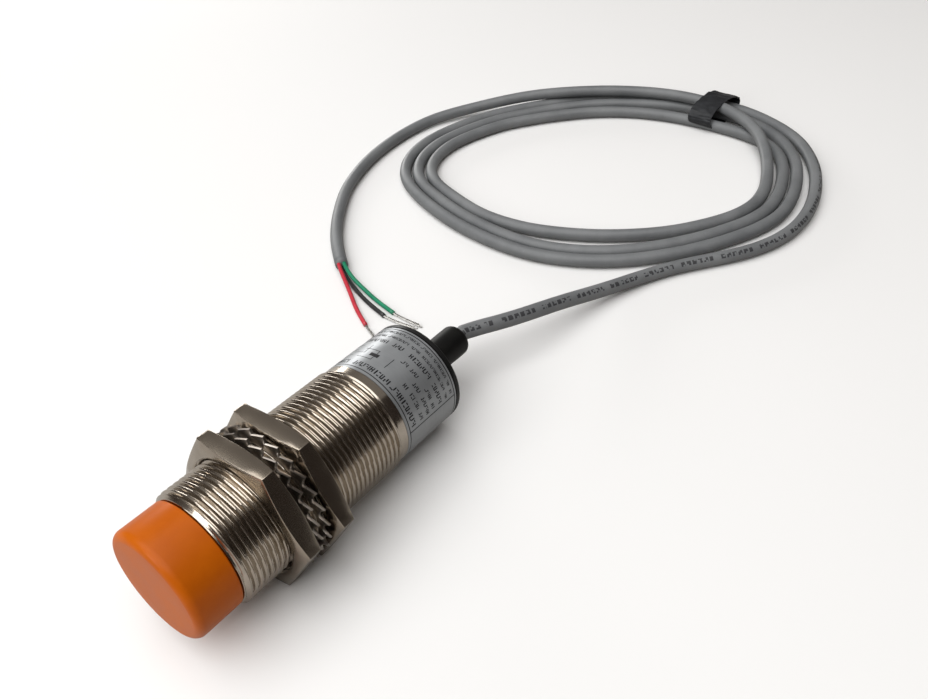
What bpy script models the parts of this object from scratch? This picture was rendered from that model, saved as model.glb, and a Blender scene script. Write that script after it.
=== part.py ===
"""Inductive proximity sensor, M30 x 1.5, with two hex nuts, two toothed washers and its moulded-on cable.

The sensor lies on its rear nut and its rear rim, so its axis dips by a few degrees. Every piece is
drawn with its own Z along the sensor's axis, where Z is the distance behind the sensing face, and
hangs under one empty that turns and places the axis. The free cable is drawn on the table itself.
"""
import bpy
import bmesh
from math import atan2, cos, hypot, pi, radians, sin
from mathutils import Matrix, Vector

MM = 0.001
ROUND = 48            # sides of the large round pieces
SMALL_ROUND = 24      # sides of the small round pieces
GAP = 0.3             # air between neighbours, mm

# Driving dimensions, millimetres.
LENGTH = 85.0         # sensing face to the rear of the end cap
THREAD_R = 15.0       # M30
THREAD_START = 11.7
THREAD_END = 62.0
BODY_R = 14.6         # plain rear part of the barrel
BORE_R = 13.3
CAP_R = 14.05
CAP_LENGTH = 11.4
CAP_EDGE = 2.0        # rounding of the sensing cap's rim
NUT_FLATS = 36.0
NUT_THICK = 5.0
NUT_BORE_R = THREAD_R + GAP
FRONT_NUT_AT = 23.5   # front face of the front nut
REAR_NUT_AT = 33.9    # front face of the rear nut
WASHER_THICK = 2.2
WASHER_R = 18.4
LABEL_START = 64.0
LABEL_END = 83.1
LABEL_THICK = 0.2
END_CAP_START = 83.6
GLAND_R = 4.5
GLAND_END = 103.0
GLAND_TIP = 1.5       # rounding of the gland's end
CABLE_R = 2.25
CORE_R = 0.7

# The axis dips until the rear rim touches the table that the rear nut lies on.
TILT = atan2(NUT_FLATS / 2 - BODY_R, LENGTH - (REAR_NUT_AT + NUT_THICK))
AXIS_HEIGHT = (NUT_FLATS / 2) * cos(TILT) + (REAR_NUT_AT + NUT_THICK) * sin(TILT)

# The origin is under the middle of the sensor's own length, from the cap's round edge to the gland's.
FRONT_X = CAP_EDGE * cos(TILT) - (CAP_R - CAP_EDGE) * sin(TILT) - CAP_EDGE
REAR_X = (GLAND_END - GLAND_TIP) * cos(TILT) + (GLAND_R - GLAND_TIP) * sin(TILT) + GLAND_TIP
FACE_X = -(FRONT_X + REAR_X) / 2


def wipe_scene():
    for obj in list(bpy.data.objects):
        bpy.data.objects.remove(obj, do_unlink=True)


def make_collection(name):
    collection = bpy.data.collections.new(name)
    bpy.context.scene.collection.children.link(collection)
    return collection


wipe_scene()
PARTS = make_collection("proximity_sensor")
CUTTERS = make_collection("cutters")

axis = bpy.data.objects.new("sensor_axis", None)
axis.location = Vector((FACE_X, 0, AXIS_HEIGHT)) * MM
axis.rotation_euler = (0, pi / 2 + TILT, 0)
PARTS.objects.link(axis)


# ---------------------------------------------------------------- helpers

def paint(obj, color, roughness, metallic=0.0):
    material = bpy.data.materials.new(obj.name)
    material.use_nodes = True
    shader = material.node_tree.nodes["Principled BSDF"]
    shader.inputs["Base Color"].default_value = (*color, 1)
    shader.inputs["Roughness"].default_value = roughness
    shader.inputs["Metallic"].default_value = metallic
    obj.data.materials.clear()
    obj.data.materials.append(material)


def add_object(name, data, collection, parent=axis):
    obj = bpy.data.objects.new(name, data)
    obj.parent = parent
    collection.objects.link(obj)
    return obj


def as_cutter(obj):
    for collection in list(obj.users_collection):
        collection.objects.unlink(obj)
    CUTTERS.objects.link(obj)
    obj.hide_render = True
    obj.display_type = "WIRE"
    return obj


def signed_area(outline):
    pairs = zip(outline, outline[1:] + outline[:1])
    return sum(r1 * z2 - r2 * z1 for (z1, r1), (z2, r2) in pairs) / 2


def turned(name, outline, sides=ROUND):
    """A profile of (distance behind the face, radius) in mm, turned about the axis."""
    if signed_area(outline) > 0:
        outline = outline[::-1]
    poles = [index for index, (_, r) in enumerate(outline) if r == 0]
    if poles:                        # an open profile runs from one point of the axis to the other
        start = max(poles, key=lambda index: outline[index][0])
        outline = outline[start:] + outline[:start]
    mesh = bpy.data.meshes.new(name)
    edges = [(i, i + 1) for i in range(len(outline) - 1)]
    if not poles:
        edges.append((len(outline) - 1, 0))
    mesh.from_pydata([(r * MM, 0, z * MM) for z, r in outline], edges, [])
    obj = add_object(name, mesh, PARTS)
    screw = obj.modifiers.new("turn", "SCREW")
    screw.axis = "Z"
    screw.angle = 2 * pi
    screw.steps = sides
    screw.render_steps = sides
    screw.use_merge_vertices = True
    screw.merge_threshold = 1e-6
    screw.use_normal_calculate = False
    screw.use_smooth_shade = True
    return obj


def along(distance, side, up):
    """A point of the sensor in its empty's axes: distance behind the face, to +Y, and up."""
    return (-up, side, distance)


def ring(name, start, end, inner, outer, sides=ROUND):
    return turned(name, [(start, inner), (start, outer), (end, outer), (end, inner)], sides)


def arc(center_z, center_r, radius, first, last, steps):
    """Points of a rounded corner, from the angle first to last, in degrees from +r towards +z."""
    turns = [radians(first + (last - first) * i / steps) for i in range(steps + 1)]
    return [(center_z + radius * sin(t), center_r + radius * cos(t)) for t in turns]


def box(name, low, high):
    """A block between two corners, each given in mm as (distance behind the face, to +Y, up)."""
    size = Vector(along(*high)) - Vector(along(*low))
    middle = (Vector(along(*high)) + Vector(along(*low))) / 2
    mesh = bpy.data.meshes.new(name)
    bm = bmesh.new()
    bmesh.ops.create_cube(bm, size=1)
    bmesh.ops.scale(bm, verts=bm.verts, vec=[abs(length) * MM for length in size])
    bmesh.ops.translate(bm, verts=bm.verts, vec=middle * MM)
    bm.to_mesh(mesh)
    bm.free()
    return add_object(name, mesh, PARTS)


def boolean(obj, cutter, operation="DIFFERENCE"):
    modifier = obj.modifiers.new(operation.lower(), "BOOLEAN")
    modifier.operation = operation
    modifier.object = as_cutter(cutter)
    modifier.solver = "EXACT"


def on_axis(distance):
    """The table coordinates, in mm, of the point of the sensor's axis at a distance behind its face."""
    return (FACE_X + distance * cos(TILT), 0, AXIS_HEIGHT - distance * sin(TILT))


def smooth_route(points, spacing):
    """Evenly spaced points on a smooth curve through the given ones (Catmull-Rom)."""
    knots = [Vector(p) for p in points]
    knots = [2 * knots[0] - knots[1]] + knots + [2 * knots[-1] - knots[-2]]
    fine = []
    for a, b, c, d in zip(knots, knots[1:], knots[2:], knots[3:]):
        for step in range(20):
            t = step / 20
            fine.append(0.5 * (2 * b + (c - a) * t + (2 * a - 5 * b + 4 * c - d) * t * t
                               + (3 * b - a - 3 * c + d) * t ** 3))
    fine.append(knots[-2])
    total = sum((b - a).length for a, b in zip(fine, fine[1:]))
    count = max(2, round(total / spacing))
    even, walked, goal = [fine[0]], 0.0, total / count
    for a, b in zip(fine, fine[1:]):
        step = (b - a).length
        while walked + step >= goal * len(even) and len(even) < count:
            even.append(a.lerp(b, (goal * len(even) - walked) / step))
        walked += step
    even.append(fine[-1])
    return even


def tube(name, points, radius, spacing, parent=None, resolution=2):
    """A round wire or cable through points in mm, with filled caps."""
    curve = bpy.data.curves.new(name, "CURVE")
    curve.dimensions = "3D"
    curve.bevel_depth = radius * MM
    curve.bevel_resolution = resolution
    curve.use_fill_caps = True
    route = smooth_route(points, spacing)
    spline = curve.splines.new("POLY")
    spline.points.add(len(route) - 1)
    for point, place in zip(spline.points, route):
        point.co = (*(place * MM), 1)
    return add_object(name, curve, PARTS, parent)


# ---------------------------------------------------------------- sensor head

def make_sensing_cap():
    wall, spigot_r, spigot_end = 1.2, 12.9, 16.0
    groove_r, groove = 12.3, (13.4, 14.8)
    outline = [(spigot_end, 12.1), (wall, 12.1), (wall, 0), (0, 0)]
    outline += arc(CAP_EDGE, CAP_R - CAP_EDGE, CAP_EDGE, -90, 0, 4)
    outline += [(CAP_LENGTH, CAP_R), (CAP_LENGTH, spigot_r), (groove[0], spigot_r)]
    outline += [(groove[0], groove_r), (groove[1], groove_r), (groove[1], spigot_r)]
    outline += [(spigot_end, spigot_r)]
    cap = turned("sensing_cap", outline)
    paint(cap, (0.80, 0.22, 0.02), 0.42)
    seal_middle = sum(groove) / 2
    seal = turned("cap_seal_ring", arc(seal_middle, 12.88, 0.26, 0, 315, 7), ROUND)
    paint(seal, (0.02, 0.02, 0.02), 0.6)


def make_coil_head():
    post_r, post_bore, cup_r = 4.6, 1.6, 11.7
    front, back, floor = 1.6, 8.4, 6.6
    core = turned("ferrite_core", [(front, post_bore), (front, post_r), (floor, post_r),
                                   (floor, 10.2), (front, 10.2), (front, cup_r),
                                   (back, cup_r), (back, post_bore)], ROUND)
    paint(core, (0.09, 0.085, 0.08), 0.7)
    flange = 0.5
    spool = turned("coil_bobbin", [(1.9, 4.9), (1.9, 9.8), (1.9 + flange, 9.8), (1.9 + flange, 5.6),
                                   (6.3 - flange, 5.6), (6.3 - flange, 9.8), (6.3, 9.8), (6.3, 4.9)],
                   ROUND)
    paint(spool, (0.75, 0.72, 0.62), 0.5)
    paint(ring("coil_winding", 2.7, 5.5, 5.9, 9.4), (0.60, 0.24, 0.09), 0.35, 0.8)
    holder = ring("core_holder", 8.7, 11.0, 0.9, 11.7)
    boolean(holder, box("holder_slot", (9.9, -9.0, -1.1), (12.0, 9.0, 1.1)))
    paint(holder, (0.05, 0.05, 0.055), 0.5)


def make_electronics():
    board_end = 66.0
    board = box("circuit_board", (10.2, -8.6, -0.8), (board_end, 8.6, 0.8))
    paint(board, (0.02, 0.18, 0.07), 0.4)
    top = 0.8 + GAP
    paint(box("oscillator_chip", (18.0, -3.0, top), (28.0, 3.0, top + 2.0)), (0.02, 0.02, 0.02), 0.5)
    paint(box("output_transistor", (44.0, -4.5, top), (52.0, 4.5, top + 2.6)), (0.02, 0.02, 0.02), 0.5)
    paint(box("trim_resistor", (33.0, -3.2, top), (39.0, 3.2, top + 4.0)), (0.03, 0.12, 0.45), 0.4)
    for index, place in enumerate((22.0, 27.5)):
        part = box(f"film_capacitor_{index + 1}", (place, -3.6, -top - 4.5), (place + 3.0, 3.6, -top))
        paint(part, (0.55, 0.35, 0.06), 0.4)
    can = turned("supply_capacitor", [(36.0, 0), (36.0, 3.0), (46.0, 3.0), (46.0, 0)], SMALL_ROUND)
    can.location = Vector(along(0, 0, -4.4)) * MM
    paint(can, (0.05, 0.06, 0.12), 0.3)
    for index in range(3):
        side = (index - 1) * 4.0
        pin = box(f"lead_terminal_{index + 1}", (61.0, side - 1.0, top), (64.5, side + 1.0, top + 0.8))
        paint(pin, (0.70, 0.70, 0.68), 0.3, 1.0)


# ---------------------------------------------------------------- barrel, nuts and washers

def make_barrel():
    chamfer = 0.9
    recess_r = BODY_R - LABEL_THICK - 0.1
    outline = [(THREAD_START, BORE_R), (THREAD_START, THREAD_R - chamfer),
               (THREAD_START + chamfer, THREAD_R), (THREAD_END - chamfer / 2, THREAD_R),
               (THREAD_END, BODY_R), (LABEL_START - 0.1, BODY_R), (LABEL_START - 0.1, recess_r),
               (END_CAP_START - GAP, recess_r), (END_CAP_START - GAP, BORE_R)]
    barrel = turned("barrel", outline)
    paint(barrel, (0.62, 0.58, 0.53), 0.22, 1.0)


def make_label():
    """A foil wrapped over the top of the barrel, with a bare strip left along its underside."""
    inner, first, wrap, steps = BODY_R - LABEL_THICK, radians(3), radians(-290), 38
    mesh = bpy.data.meshes.new("rating_label")
    bm = bmesh.new()
    section = [(inner, LABEL_START), (BODY_R, LABEL_START), (BODY_R, LABEL_END), (inner, LABEL_END)]
    face = bm.faces.new([bm.verts.new((0, -r * MM, z * MM)) for r, z in section])
    bmesh.ops.rotate(bm, verts=bm.verts, matrix=Matrix.Rotation(first, 3, "Z"))
    bmesh.ops.spin(bm, geom=list(face.verts) + list(face.edges) + [face], axis=(0, 0, 1),
                   cent=(0, 0, 0), angle=wrap, steps=steps, use_duplicate=False)
    bmesh.ops.recalc_face_normals(bm, faces=bm.faces)
    bm.to_mesh(mesh)
    bm.free()
    label = add_object("rating_label", mesh, PARTS)
    paint(label, (0.42, 0.44, 0.46), 0.35, 0.3)


def chamfered_slug(name, start, corner_drop=0.8, face_r=17.4):
    """The turned body that a hex bar is faced down to, wider than the bar at its middle."""
    slope = corner_drop / (NUT_FLATS / 2 / cos(pi / 6) - face_r)
    reach = NUT_THICK / 2 / slope
    middle = start + NUT_THICK / 2
    outline = [(start, 0), (start, face_r), (middle, face_r + reach),
               (start + NUT_THICK, face_r), (start + NUT_THICK, 0)]
    return turned(name, outline)


def make_nut(name, start):
    mesh = bpy.data.meshes.new(name)
    bm = bmesh.new()
    bmesh.ops.create_cone(bm, cap_ends=True, segments=6, depth=NUT_THICK * MM,
                          radius1=NUT_FLATS / 2 / cos(pi / 6) * MM,
                          radius2=NUT_FLATS / 2 / cos(pi / 6) * MM)
    bmesh.ops.translate(bm, verts=bm.verts, vec=(0, 0, (start + NUT_THICK / 2) * MM))
    bm.to_mesh(mesh)
    bm.free()
    nut = add_object(name, mesh, PARTS)
    boolean(nut, chamfered_slug(f"{name}_slug", start), "INTERSECT")
    relief = 0.7
    bore = turned(f"{name}_bore", [(start - 1, 0), (start - 1, NUT_BORE_R + relief + 1),
                                   (start + relief, NUT_BORE_R),
                                   (start + NUT_THICK - relief, NUT_BORE_R),
                                   (start + NUT_THICK + 1, NUT_BORE_R + relief + 1),
                                   (start + NUT_THICK + 1, 0)])
    boolean(nut, bore)
    paint(nut, (0.60, 0.55, 0.49), 0.25, 1.0)


def make_washer(name, start, teeth=24):
    """A spring-steel ring whose outer teeth are set to one side and the other in turn."""
    inner, root, plate, lean = NUT_BORE_R, 16.6, 1.0, 0.55
    middle = start + WASHER_THICK / 2
    columns = teeth * 2
    half = plate / 2
    section = [(inner, -half), (root, -half), (WASHER_R, -half), (WASHER_R, half), (root, half), (inner, half)]
    mesh = bpy.data.meshes.new(name)
    bm = bmesh.new()
    corners = [bm.verts.new((r * MM, 0, (middle + z) * MM)) for r, z in section]
    edges = [bm.edges.new(pair) for pair in zip(corners, corners[1:] + corners[:1])]
    bmesh.ops.spin(bm, geom=corners + edges, axis=(0, 0, 1), cent=(0, 0, 0), angle=2 * pi,
                   steps=columns, use_merge=True, use_duplicate=False)
    bmesh.ops.remove_doubles(bm, verts=bm.verts, dist=1e-6)
    for vert in bm.verts:
        if hypot(vert.co.x, vert.co.y) > (root + WASHER_R) / 2 * MM:
            column = round(atan2(vert.co.y, vert.co.x) / (2 * pi) * columns) % columns
            vert.co.z += lean * MM if column // 2 % 2 else -lean * MM
    bmesh.ops.recalc_face_normals(bm, faces=bm.faces)
    bm.to_mesh(mesh)
    bm.free()
    washer = add_object(name, mesh, PARTS)
    paint(washer, (0.62, 0.60, 0.57), 0.3, 1.0)


# ---------------------------------------------------------------- rear end

def make_rear_end():
    hole_r, spigot_r, spigot_start = 3.6, BORE_R - GAP, 80.0
    outline = [(spigot_start, hole_r), (spigot_start, spigot_r), (END_CAP_START, spigot_r),
               (END_CAP_START, BODY_R)]
    outline += arc(LENGTH - 0.5, BODY_R - 0.5, 0.5, 0, 90, 2)
    outline += [(LENGTH, hole_r)]
    end_cap = turned("end_cap", outline)
    paint(end_cap, (0.015, 0.015, 0.016), 0.45)

    bore_r, shank_r = CABLE_R + GAP, hole_r - GAP
    outline = [(77.0, bore_r), (77.0, 5.2), (79.6, 5.2), (79.6, shank_r), (LENGTH + GAP, shank_r),
               (LENGTH + GAP, GLAND_R), (GLAND_END - GLAND_TIP, GLAND_R)]
    outline += arc(GLAND_END - GLAND_TIP, GLAND_R - GLAND_TIP, GLAND_TIP, 0, 90, 3)[1:]
    outline += [(GLAND_END, bore_r)]
    gland = turned("cable_gland", outline, SMALL_ROUND)
    paint(gland, (0.012, 0.012, 0.013), 0.5)

    clamp = ring("cable_clamp", 74.2, 76.6, bore_r, 4.2, SMALL_ROUND)
    paint(clamp, (0.55, 0.55, 0.53), 0.3, 1.0)
    plug = ring("resin_plug", 67.0, 73.6, 5.3, BORE_R - GAP, ROUND)
    paint(plug, (0.06, 0.05, 0.045), 0.35)

    inner = turned("cable_inner", [(73.2, 0), (73.2, CABLE_R), (GLAND_END, CABLE_R), (GLAND_END, 0)],
                   12)
    paint(inner, (0.30, 0.32, 0.33), 0.5)

    wires = (("red", (0.65, 0.03, 0.05)), ("green", (0.01, 0.25, 0.14)), ("black", (0.02, 0.02, 0.02)))
    for index, (color, rgb) in enumerate(wires):
        side = (index - 1) * 4.0
        start = (index - 1) * 1.6
        wire = tube(f"inner_core_{color}", [along(72.9, start, 0.9 if index == 1 else -0.3),
                                            along(70.5, start, 1.4), along(67.5, side * 0.8, 2.5),
                                            along(64.6, side, 2.9), along(61.6, side, 2.9)],
                    CORE_R, 1.6, axis, 1)
        paint(wire, rgb, 0.4)


# ---------------------------------------------------------------- free cable

COIL_CENTER = (FACE_X + 223.0, 23.0)
COIL_TURN = radians(-45)                # direction of the coil's long way across
COIL_LONG, COIL_SHORT = 68.0, 52.5      # half widths of its middle line
COIL_HALF_BAND = 10.0                   # half width of the bundle of turns
COIL_HALF_HEIGHT = 4.6
TAPE_HALF_WIDTH, TAPE_HALF_HEIGHT = 12.6, 5.4
TAPE_THICK = 0.4
TAPE_LENGTH = 10.0
TAPE_TURN = radians(34)                 # place of the tape round the oval
BUNDLE_HEIGHT = TAPE_HALF_HEIGHT + TAPE_THICK + 0.05


def oval_ring(name, around=48, across=8):
    """A flattened torus stretched to the oval of the coil."""
    mean = (COIL_LONG + COIL_SHORT) / 2
    bpy.ops.mesh.primitive_torus_add(major_segments=around, minor_segments=across,
                                     major_radius=mean * MM, minor_radius=COIL_HALF_BAND * MM)
    obj = bpy.context.object
    obj.name = obj.data.name = name
    obj.data.transform(Matrix.Diagonal((COIL_LONG / mean, COIL_SHORT / mean,
                                        COIL_HALF_HEIGHT / COIL_HALF_BAND, 1)))
    bpy.context.collection.objects.unlink(obj)
    PARTS.objects.link(obj)
    return obj


def lay_on_table(obj, turn=0.0, offset=(0, 0)):
    """Puts a piece of the bundle at its height, turned and moved within the oval's own plane."""
    spot = Vector((*COIL_CENTER, BUNDLE_HEIGHT)) + Matrix.Rotation(COIL_TURN, 3, "Z") @ Vector((*offset, 0))
    obj.location = spot * MM
    obj.rotation_euler = (0, 0, COIL_TURN + turn)


def make_tape():
    """A band of tape round the whole bundle, across the turns."""
    bpy.ops.mesh.primitive_cylinder_add(vertices=20, radius=MM, depth=TAPE_LENGTH * MM, end_fill_type="NOTHING")
    tape = bpy.context.object
    tape.name = tape.data.name = "tape_tie"
    tape.data.transform(Matrix.Diagonal((TAPE_HALF_WIDTH, TAPE_HALF_HEIGHT, 1, 1)))
    tape.data.transform(Matrix.Rotation(pi / 2, 4, "X"))
    bpy.context.collection.objects.unlink(tape)
    PARTS.objects.link(tape)
    wall = tape.modifiers.new("wall", "SOLIDIFY")
    wall.thickness = TAPE_THICK * MM
    wall.offset = 1
    spot = (COIL_LONG * cos(TAPE_TURN), COIL_SHORT * sin(TAPE_TURN))
    outward = atan2(COIL_LONG * sin(TAPE_TURN), COIL_SHORT * cos(TAPE_TURN))
    lay_on_table(tape, outward, spot)
    paint(tape, (0.02, 0.022, 0.026), 0.45)


def make_stripped_end(end, heading):
    """Three cores fan out from the jacket's end, each ending in its bare tinned strands."""
    side = Vector((-heading.y, heading.x, 0))
    start = Vector(end) + heading * GAP
    copper = 0.42
    routes = {
        "red": ((-0.95, 0.55), (0.65, 0.03, 0.05),
                [(115.4, 58.4, 2.2), (111.3, 52.0, 1.3), (106.7, 45.1, 0.8), (102.6, 37.6, 0.8)],
                [(101.3, 34.9, 0.7), (99.9, 31.3, 0.6)]),
        "green": ((0.95, 0.55), (0.01, 0.25, 0.14),
                  [(117.7, 57.0, 2.1), (115.9, 50.5, 1.3), (113.9, 43.2, 0.8), (111.9, 34.0, 0.8)],
                  [(111.6, 29.0, 0.7), (111.8, 22.1, 0.6)]),
        "black": ((0, -1.1), (0.02, 0.02, 0.02),
                  [(116.6, 57.6, 0.8), (113.6, 50.6, 0.8), (111.3, 44.0, 0.8), (109.2, 35.6, 0.8)],
                  [(109.2, 30.0, 0.7), (110.2, 22.9, 0.6)]),
    }
    for color, ((across, up), rgb, insulated, bare) in routes.items():
        shift = Vector((FACE_X, 0, 0))
        first = start + side * across + Vector((0, 0, up))
        points = [first, first + heading * 2] + [Vector(point) + shift for point in insulated]
        paint(tube(f"core_{color}", points, CORE_R, 2.2, resolution=1), rgb, 0.4)
        tip = points[-1]
        ahead = (Vector(bare[0]) + shift - tip).normalized()
        points = [tip + ahead * GAP] + [Vector(point) + shift for point in bare]
        paint(tube(f"strands_{color}", points, copper, 2.0, resolution=1), (0.75, 0.74, 0.72), 0.35, 1.0)


def make_free_cable():
    grey = (0.30, 0.32, 0.33)
    table = CABLE_R + 0.1
    lead = [on_axis(GLAND_END + GAP), on_axis(GLAND_END + 8)]
    lead += [Vector((FACE_X + x, y, z)) for x, y, z in (
        (121, -8.0, 9.6), (137, -12.8, 5.6), (153, -18.0, 3.0), (167, -24.5, table), (179, -32.5, table),
        (190, -41.0, table), (202, -49.0, table), (212, -54.4, table), (224, -57.2, table),
        (234, -57.0, table))]
    paint(tube("cable_lead", lead, CABLE_R, 9.0), grey, 0.5)

    tail = [Vector((FACE_X + x, y, z)) for x, y, z in (
        (230, 98.4, 4.6), (223, 102.8, 3.4), (214, 105.6, 2.6), (202, 107.0, table), (190, 106.8, table),
        (177, 104.7, table), (163, 100.2, table), (148, 91.5, table), (137, 83.0, table),
        (127, 73.5, table), (120.8, 64.7, table))]
    paint(tube("cable_tail", tail, CABLE_R, 9.0), grey, 0.5)
    make_stripped_end(tail[-1], (tail[-1] - tail[-2]).normalized())

    coil = oval_ring("cable_coil")
    lay_on_table(coil)
    paint(coil, grey, 0.5)
    make_tape()


make_sensing_cap()
make_coil_head()
make_electronics()
make_barrel()
make_label()
make_nut("front_nut", FRONT_NUT_AT)
make_nut("rear_nut", REAR_NUT_AT)
make_washer("front_washer", FRONT_NUT_AT + NUT_THICK + GAP)
make_washer("rear_washer", REAR_NUT_AT - GAP - WASHER_THICK)
make_rear_end()
make_free_cable()
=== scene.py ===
from math import atan2, cos, floor, hypot, pi, radians, sin

import bpy
from mathutils import Matrix, Vector, kdtree, noise


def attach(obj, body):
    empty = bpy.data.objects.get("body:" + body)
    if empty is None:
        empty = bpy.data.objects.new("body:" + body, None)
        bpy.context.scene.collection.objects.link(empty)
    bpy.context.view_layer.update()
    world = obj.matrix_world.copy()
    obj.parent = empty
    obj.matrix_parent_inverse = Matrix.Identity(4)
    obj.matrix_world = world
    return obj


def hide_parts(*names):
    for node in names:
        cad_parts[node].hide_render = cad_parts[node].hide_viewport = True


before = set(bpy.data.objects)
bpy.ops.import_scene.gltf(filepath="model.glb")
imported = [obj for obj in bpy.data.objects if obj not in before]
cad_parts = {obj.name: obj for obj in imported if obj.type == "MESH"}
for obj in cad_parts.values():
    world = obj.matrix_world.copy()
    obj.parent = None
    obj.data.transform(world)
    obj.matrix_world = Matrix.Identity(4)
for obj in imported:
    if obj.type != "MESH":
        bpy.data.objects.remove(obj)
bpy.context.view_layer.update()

mm = 0.001
weld = {"wire": 0.000002, "spun": 0.000001}      # points closer than this, in metres, become one

# where the sensor lies: its face centre, and the dip of its axis towards the cable
sensor = {"faceX": -51.027, "height": 20.8125, "tilt": 4.2181}
tilt = radians(sensor["tilt"])
sensorPlace = (Matrix.Translation(Vector((sensor["faceX"], 0, sensor["height"])) * mm)
               @ Matrix.Rotation(pi / 2 + tilt, 4, "Y"))


def deselectAll():
    if bpy.context.object and bpy.context.object.mode != "OBJECT":
        bpy.ops.object.mode_set(mode="OBJECT")
    bpy.ops.object.select_all(action="DESELECT")


def selectOnly(obj):
    deselectAll()
    obj.select_set(True)
    bpy.context.view_layer.objects.active = obj


camera = {"lens": 31.67, "place": (-28.71, -113.37, 165.12),      # place is from the face centre, on the table
          "right": (0.598646, -0.798236, -0.066643), "up": (0.566580, 0.363160, 0.739663)}


def addCamera():
    data = bpy.data.cameras.new("camera")
    data.lens = camera["lens"]
    data.sensor_width = 36
    data.clip_start = 0.005
    obj = bpy.data.objects.new("camera", data)
    bpy.context.scene.collection.objects.link(obj)
    right = Vector(camera["right"]).normalized()
    up = Vector(camera["up"])
    up = (up - right * up.dot(right)).normalized()
    turn = Matrix((right, up, right.cross(up))).transposed().to_4x4()
    x, y, z = camera["place"]
    obj.matrix_world = Matrix.Translation(Vector((sensor["faceX"] + x, y, z)) * mm) @ turn
    bpy.context.scene.camera = obj


addCamera()
print("camera ready")

# coilRoute is angle round the oval, distance out from its middle line, and height where not at rest; degrees and mm
cable = {
    "radius": 2.25, "exit": 103.3, "straight": 107.5, "spacing": 2.5, "relax": 6, "sides": 6, "rest": 2.35,
    "middle": (223, 23), "turn": -45, "long": 68, "short": 52.5,
    "lead": [(113.5, -4.6, 12.7), (121.8, -8.4, 11.6), (136.7, -12.9, 8.4), (152, -18.0, 4.8), (167.2, -24.2, 2.7),
             (176.5, -29.6, 2.35), (184.8, -36.2, 2.35), (193.5, -43.6, 2.35), (202.5, -49.6, 2.35),
             (212.5, -53.6, 2.35), (224.0, -55.3, 2.35), (237.2, -54.4, 2.35)],
    "coilRoute": [
        (-29, 14.2), (-19, 12.7), (-6, 11.4), (6, 10.2), (21, 9.2), (34, 8.4), (48, 6.6), (64, 4.2), (78, 4.2),
        (92, 4.0), (105, 4.7), (121, 6.8), (141, 9.6), (156, 10.4), (169, 8.6), (180, 5.2), (190, 2.6), (201, 1.4),
        (215, 2.0), (232, 5.3), (246, 8.4), (262, 10.3), (280, 10.7), (298, 11.6), (310, 11.6), (321, 9.4),
        (332, 7.4), (345, 6.3), (360, 5.0), (374, 3.6), (388, 1.8), (404, 0.2), (422, -1.6), (438, -1.4),
        (452, -1.4), (465, -0.7), (481, 1.5), (501, 4.4), (516, 5.2), (529, 3.6), (540, 0.2), (550, -2.6),
        (561, -3.7), (575, -3.1), (592, 0.1), (606, 3.2), (622, 4.9), (640, 5.4), (658, 6.4), (670, 6.6), (681, 4.5),
        (692, 2.5), (705, 1.4), (716, -0.4), (727, -4.2), (738, -7.8), (748, -9.9), (765, -10.4), (784, -9.4),
        (800, -8.4), (814, -7.8), (827, -6.3), (841, -3.8), (861, -0.9), (876, -0.1), (889, -1.6), (900, -5.0),
        (910, -7.8), (921, -8.9), (935, -8.4), (952, -7.4), (966, -6.4), (982, -4.4), (1000, -1.6), (1018, 0.9),
        (1030, 1.4), (1041, -0.6), (1051, -2.8, 2.4), (1062, -4.1, 3.4), (1073, -4.7, 5.4), (1084, -4.6, 6.8),
        (1096, -3.8, 7.05), (1108, -2.4, 7.05), (1121, -0.8, 7.05), (1137, 0.2, 7.05), (1155, 1.6, 7.0),
        (1172, 4.2, 6.9), (1184, 8.2, 6.0), (1196, 13.4, 4.3)],
    "tail": [(223.6, 102.2, 2.9), (213.5, 105.8, 2.4), (202.1, 107.0, 2.35), (190, 106.5, 2.35),
             (177.3, 104.4, 2.35), (163.8, 99.9, 2.35), (155, 95.6, 2.35), (147.6, 90.6, 2.35),
             (139.8, 84.9, 2.35), (132.6, 78.6, 2.35), (126.2, 71.6, 2.35), (120.8, 64.7, 2.35)],
}


def onAxis(distance):
    return Vector((sensor["faceX"] + distance * cos(tilt), 0, sensor["height"] - distance * sin(tilt)))


def onOval(angle, out, height=cable["rest"]):
    turn = Matrix.Rotation(radians(cable["turn"]), 3, "Z")
    flat = Vector(((cable["long"] + out) * cos(radians(angle)), (cable["short"] + out) * sin(radians(angle)), 0))
    x, y = cable["middle"]
    return turn @ flat + Vector((sensor["faceX"] + x, y, height))


def onTable(points):
    return [Vector((sensor["faceX"] + x, y, z)) for x, y, z in points]


curveSteps = 24      # points worked out between two knots of a route


def smoothRoute(knots, spacing):
    knots = [2 * knots[0] - knots[1]] + knots + [2 * knots[-1] - knots[-2]]
    fine = []
    for a, b, c, d in zip(knots, knots[1:], knots[2:], knots[3:]):
        for step in range(curveSteps):
            t = step / curveSteps
            fine.append(0.5 * (2 * b + (c - a) * t + (2 * a - 5 * b + 4 * c - d) * t * t
                               + (3 * b - a - 3 * c + d) * t ** 3))
    fine.append(knots[-2])
    total = sum((b - a).length for a, b in zip(fine, fine[1:]))
    count = max(2, round(total / spacing))
    even = [fine[0]]
    walked = 0.0
    for a, b in zip(fine, fine[1:]):
        step = (b - a).length
        while len(even) < count and walked + step >= total * len(even) / count:
            even.append(a.lerp(b, (total * len(even) / count - walked) / step))
        walked += step
    return even + [fine[-1]]


def relaxed(route, rounds):
    # each point drifts to the middle of its neighbours, the two ends held
    for _ in range(rounds):
        inner = [p * 0.5 + (a + b) * 0.25 for a, p, b in zip(route[1:], route[2:-2], route[3:])]
        route = route[:2] + inner + route[-2:]
    return route


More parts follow.
